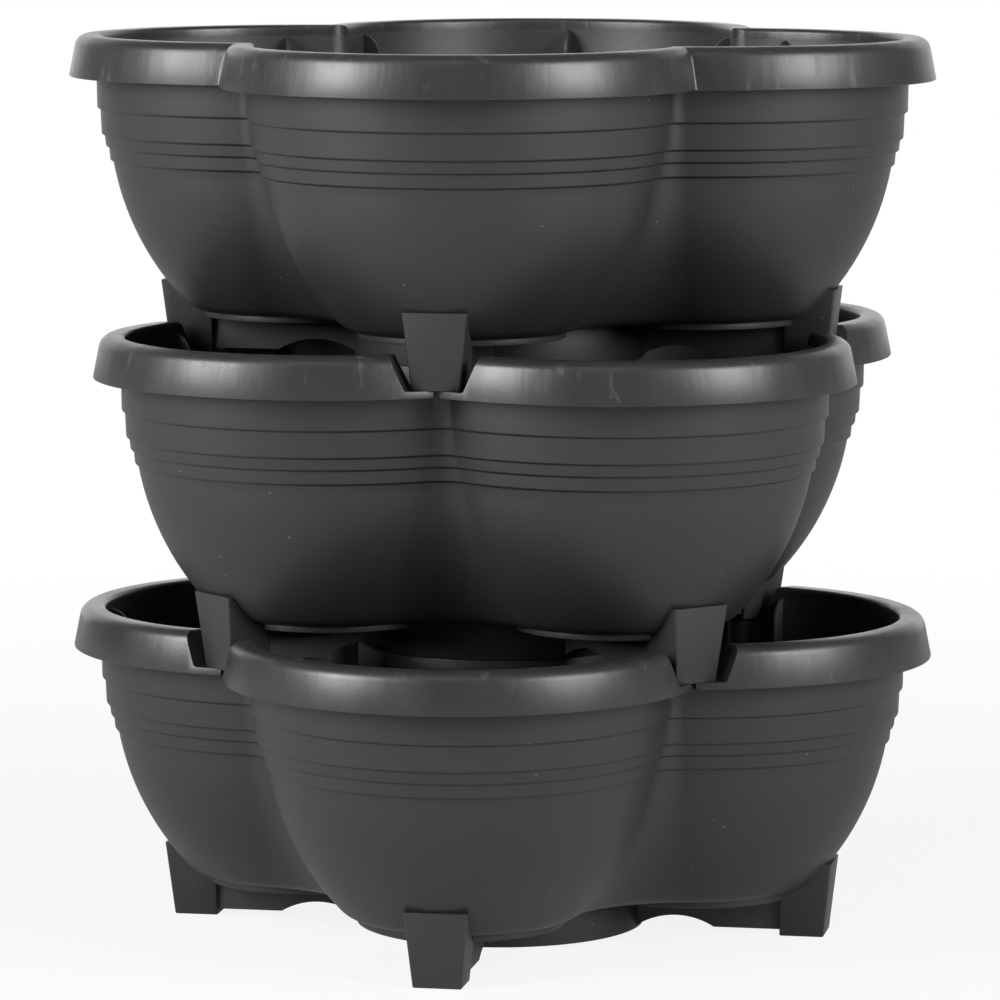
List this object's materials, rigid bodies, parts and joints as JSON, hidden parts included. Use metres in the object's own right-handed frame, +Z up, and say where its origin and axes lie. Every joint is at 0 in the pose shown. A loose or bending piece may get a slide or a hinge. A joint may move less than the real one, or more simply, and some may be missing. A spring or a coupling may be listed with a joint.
{
  "type": "vertical planter tower",
  "caption": "Stack of moulded four-lobed planter tiers, each turned so that its feet stand in the rim notches of the tier below.",
  "frame": {"origin": "on the ground under the tower's upright axis, at the underside of the bottom tier's feet", "axes": "+Z up along the tower's axis; the bottom and top tiers' pots lie on +X, +Y, -X and -Y, the middle tier's between them"},
  "size_m": [0.372, 0.372, 0.3835],
  "materials": {
    "wall_plastic": "fine grained, matte charcoal",
    "rim_plastic": "smooth satin charcoal"
  },
  "bodies": {
    "bottom_tier": {"bottom_wall_right": "wall_plastic", "bottom_bowl_right": "wall_plastic", "bottom_rim_right": "rim_plastic", "bottom_foot_right": "wall_plastic", "bottom_wall_back": "wall_plastic", "bottom_bowl_back": "wall_plastic", "bottom_rim_back": "rim_plastic", "bottom_foot_back": "wall_plastic", "bottom_wall_left": "wall_plastic", "bottom_bowl_left": "wall_plastic", "bottom_rim_left": "rim_plastic", "bottom_foot_left": "wall_plastic", "bottom_wall_front": "wall_plastic", "bottom_bowl_front": "wall_plastic", "bottom_rim_front": "rim_plastic", "bottom_foot_front": "wall_plastic", "bottom_drum": "wall_plastic", "bottom_riser": "wall_plastic", "bottom_posts": "wall_plastic", "bottom_fins": "wall_plastic"},
    "middle_tier": {"middle_wall_back_right": "wall_plastic", "middle_bowl_back_right": "wall_plastic", "middle_rim_back_right": "rim_plastic", "middle_foot_back_right": "wall_plastic", "middle_wall_back_left": "wall_plastic", "middle_bowl_back_left": "wall_plastic", "middle_rim_back_left": "rim_plastic", "middle_foot_back_left": "wall_plastic", "middle_wall_front_left": "wall_plastic", "middle_bowl_front_left": "wall_plastic", "middle_rim_front_left": "rim_plastic", "middle_foot_front_left": "wall_plastic", "middle_wall_front_right": "wall_plastic", "middle_bowl_front_right": "wall_plastic", "middle_rim_front_right": "rim_plastic", "middle_foot_front_right": "wall_plastic", "middle_drum": "wall_plastic", "middle_riser": "wall_plastic", "middle_posts": "wall_plastic", "middle_fins": "wall_plastic"},
    "top_tier": {"top_wall_right": "wall_plastic", "top_bowl_right": "wall_plastic", "top_rim_right": "rim_plastic", "top_foot_right": "wall_plastic", "top_wall_back": "wall_plastic", "top_bowl_back": "wall_plastic", "top_rim_back": "rim_plastic", "top_foot_back": "wall_plastic", "top_wall_left": "wall_plastic", "top_bowl_left": "wall_plastic", "top_rim_left": "rim_plastic", "top_foot_left": "wall_plastic", "top_wall_front": "wall_plastic", "top_bowl_front": "wall_plastic", "top_rim_front": "rim_plastic", "top_foot_front": "wall_plastic", "top_drum": "wall_plastic", "top_riser": "wall_plastic", "top_posts": "wall_plastic", "top_fins": "wall_plastic"}
  },
  "joints": [
    {"name": "middle_lift", "type": "slide", "parent": "bottom_tier", "child": "middle_tier", "axis": [0, 0, 1], "range_m": [0, 0.16]},
    {"name": "top_lift", "type": "slide", "parent": "middle_tier", "child": "top_tier", "axis": [0, 0, 1], "range_m": [0, 0.16]}
  ]
}
